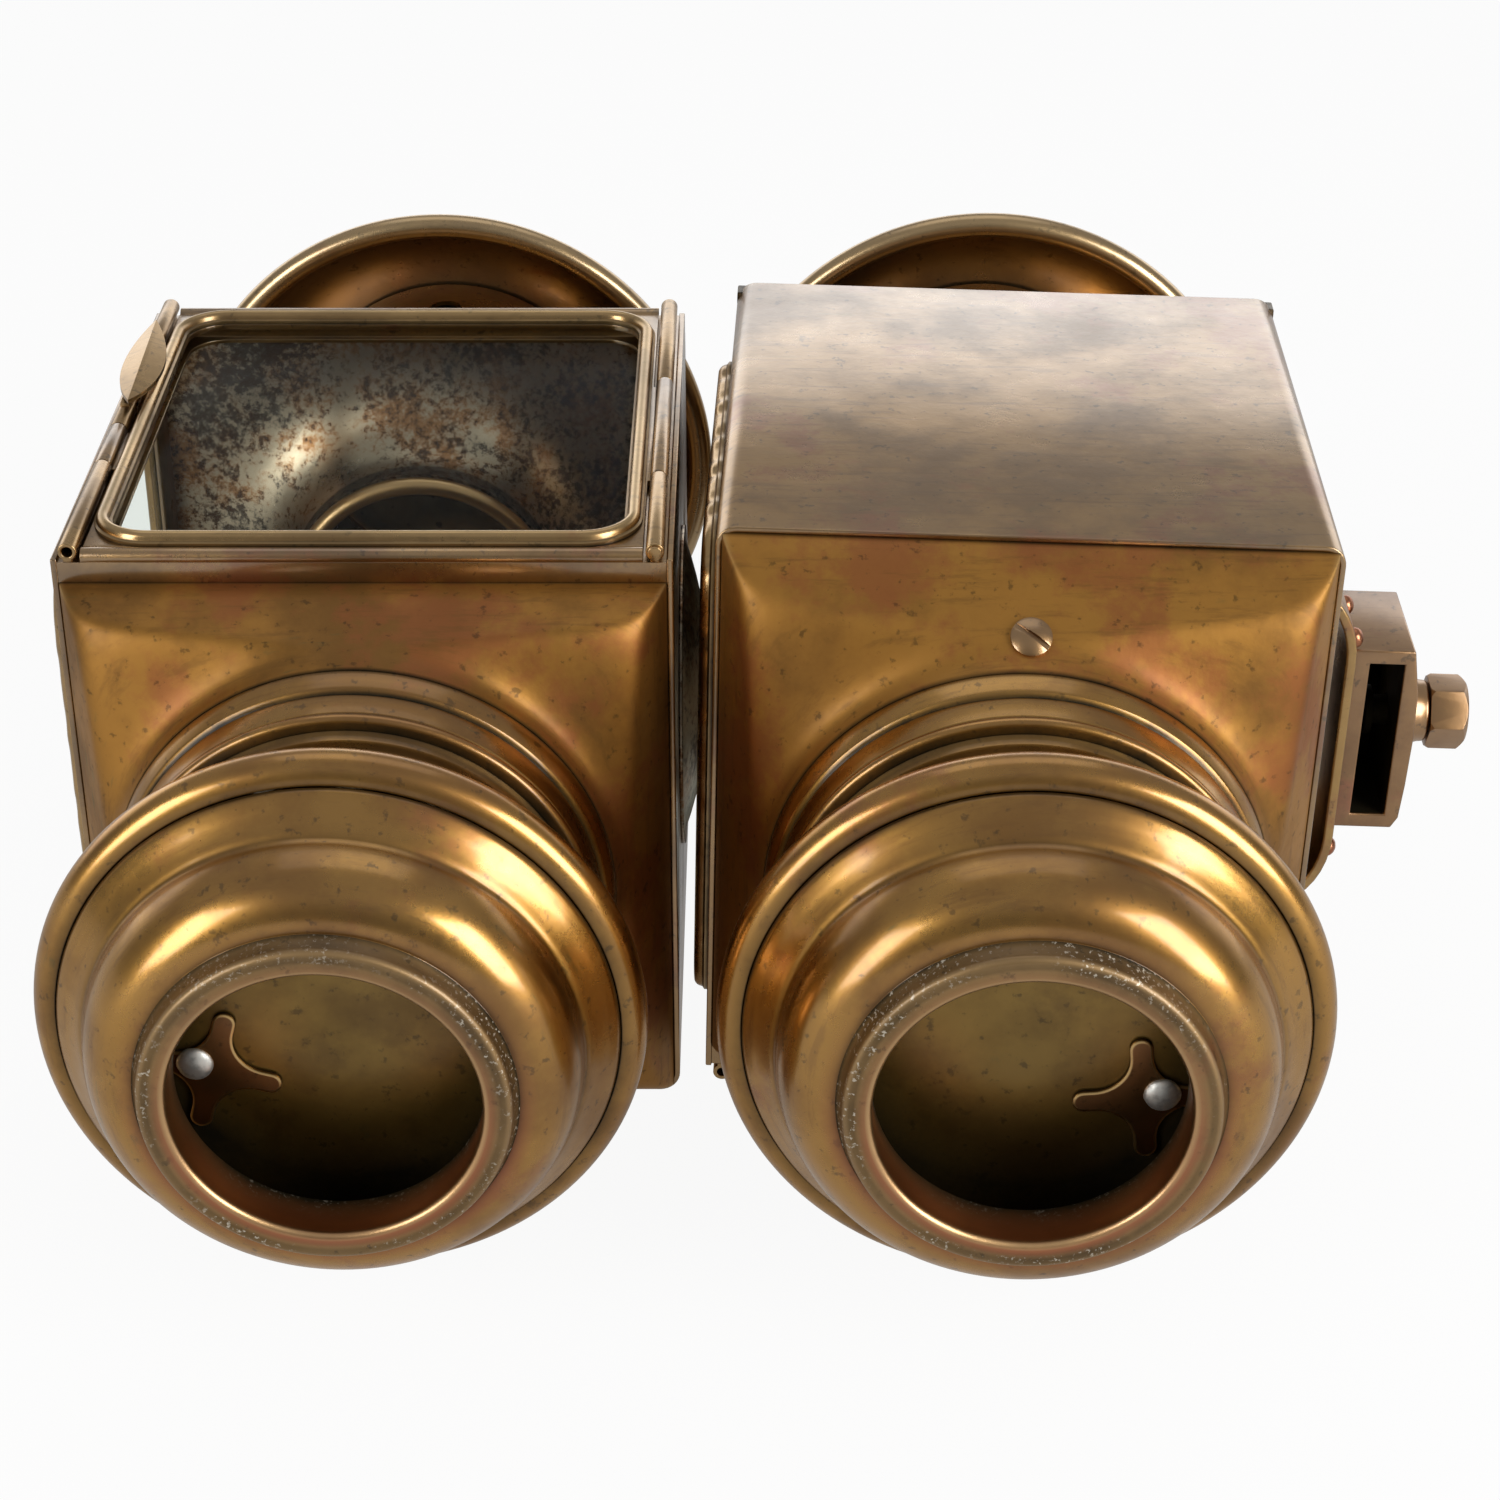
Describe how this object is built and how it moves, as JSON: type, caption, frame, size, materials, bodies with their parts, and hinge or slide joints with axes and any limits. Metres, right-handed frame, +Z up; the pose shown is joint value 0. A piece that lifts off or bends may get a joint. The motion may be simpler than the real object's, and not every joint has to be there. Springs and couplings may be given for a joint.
{
  "type": "oil side lamp pair",
  "caption": "A pair of square brass oil side lamps with glazed hinged doors, flaring skirts, twist-off base bowls and umbrella chimney caps, lying side by side",
  "frame": {"origin": "centre of the left lamp's flat back panel, which lies on the table at z = 0", "axes": "+Y along the left lamp from its base to its chimney, +Z up, out through the left lamp's door, +X towards the right lamp"},
  "size_m": [0.2782, 0.2996, 0.1277],
  "materials": {
    "casing_brass": "aged, satin, brown patina",
    "spun_brass": "aged, soft polish",
    "ring_brass": "scratched, coppery",
    "tube_brass": "worn bright",
    "dark_brass": "dark patina",
    "bracket_brass": "cast and filed",
    "copper": "copper rivets",
    "silvered": "worn silver plate",
    "rivet_steel": "bright",
    "glass": "clear, bevelled"
  },
  "bodies": {
    "left_lamp": {"left_casing": "casing_brass", "left_door_seat": "casing_brass", "left_lower_shoulder": "casing_brass", "left_upper_shoulder": "casing_brass", "left_collar": "spun_brass", "left_skirt": "spun_brass", "left_air_baffle": "dark_brass", "left_reflector": "silvered", "left_flue": "ring_brass", "left_chimney_neck": "spun_brass", "left_umbrella_cap": "spun_brass", "left_crown": "spun_brass", "left_side_dish": "casing_brass", "left_frame_tubes": "tube_brass", "left_hinge_pin": "tube_brass", "left_window_bezel": "tube_brass", "left_window_glass": "glass", "left_shoulder_screw": "tube_brass"},
    "left_door": {"left_door_frame": "casing_brass", "left_door_bezel": "tube_brass", "left_door_glass": "glass"},
    "left_latch": {"left_door_latch": "tube_brass"},
    "left_base": {"left_base_dome": "spun_brass", "left_base_ring": "ring_brass", "left_well_plate": "dark_brass", "left_star_spring": "dark_brass", "left_spring_rivet": "rivet_steel"},
    "right_lamp": {"right_casing": "casing_brass", "right_door_seat": "casing_brass", "right_lower_shoulder": "casing_brass", "right_upper_shoulder": "casing_brass", "right_collar": "spun_brass", "right_skirt": "spun_brass", "right_air_baffle": "dark_brass", "right_reflector": "silvered", "right_flue": "ring_brass", "right_chimney_neck": "spun_brass", "right_umbrella_cap": "spun_brass", "right_crown": "spun_brass", "right_side_dish": "casing_brass", "right_frame_tubes": "tube_brass", "right_hinge_pin": "tube_brass", "right_window_bezel": "tube_brass", "right_window_glass": "glass", "right_shoulder_screw": "tube_brass", "right_bracket_pad": "bracket_brass", "right_bracket_socket": "bracket_brass", "right_bracket_rivets": "copper"},
    "right_door": {"right_door_frame": "casing_brass", "right_door_bezel": "tube_brass", "right_door_glass": "glass"},
    "right_latch": {"right_door_latch": "tube_brass"},
    "right_base": {"right_base_dome": "spun_brass", "right_base_ring": "ring_brass", "right_well_plate": "dark_brass", "right_star_spring": "dark_brass", "right_spring_rivet": "rivet_steel"},
    "clamp_shoe": {"right_clamp_shoe": "bracket_brass"},
    "set_screw": {"right_set_screw": "bracket_brass"}
  },
  "joints": [
    {"name": "right_lamp_slide", "type": "slide", "parent": "left_lamp", "child": "right_lamp", "axis": [1, 0, 0], "range_m": [0, 0.06]},
    {"name": "left_door_hinge", "type": "hinge", "parent": "left_lamp", "child": "left_door", "pos_m": [0.0537, 0, 0.12045], "axis": [0, 1, 0], "range_deg": [0, 105]},
    {"name": "left_latch_turn", "type": "hinge", "parent": "left_door", "child": "left_latch", "pos_m": [-0.0537, 0, 0.12045], "axis": [0, -1, 0], "range_deg": [0, 60]},
    {"name": "left_base_twist", "type": "hinge", "parent": "left_lamp", "child": "left_base", "pos_m": [0, -0.12, 0.062], "axis": [0, 1, 0], "range_deg": [0, 30]},
    {"name": "right_door_hinge", "type": "hinge", "parent": "right_lamp", "child": "right_door", "pos_m": [0.17462, -0.00724, 0.00478], "axis": [-0.0307, -0.9995, 0], "range_deg": [0, 105]},
    {"name": "right_latch_turn", "type": "hinge", "parent": "right_door", "child": "right_latch", "pos_m": [0.0673, -0.00394, 0.00715], "axis": [0.0307, 0.9995, 0], "range_deg": [0, 60]},
    {"name": "right_base_twist", "type": "hinge", "parent": "right_lamp", "child": "right_base", "pos_m": [0.11856, -0.12557, 0.0644], "axis": [-0.0307, -0.9995, 0], "range_deg": [0, 30]},
    {"name": "clamp_slide", "type": "slide", "parent": "right_lamp", "child": "clamp_shoe", "axis": [0.9993, -0.0307, -0.022], "range_m": [0, 0.003]},
    {"name": "set_screw_turn", "type": "hinge", "parent": "clamp_shoe", "child": "set_screw", "pos_m": [0.20333, -0.01712, 0.06381], "axis": [0.9993, -0.0307, -0.022], "range_deg": [0, 1080]}
  ],
  "couplings": [
    {"joint": "set_screw_turn", "follows": "clamp_slide", "rad_per_m": 6283.2}
  ]
}
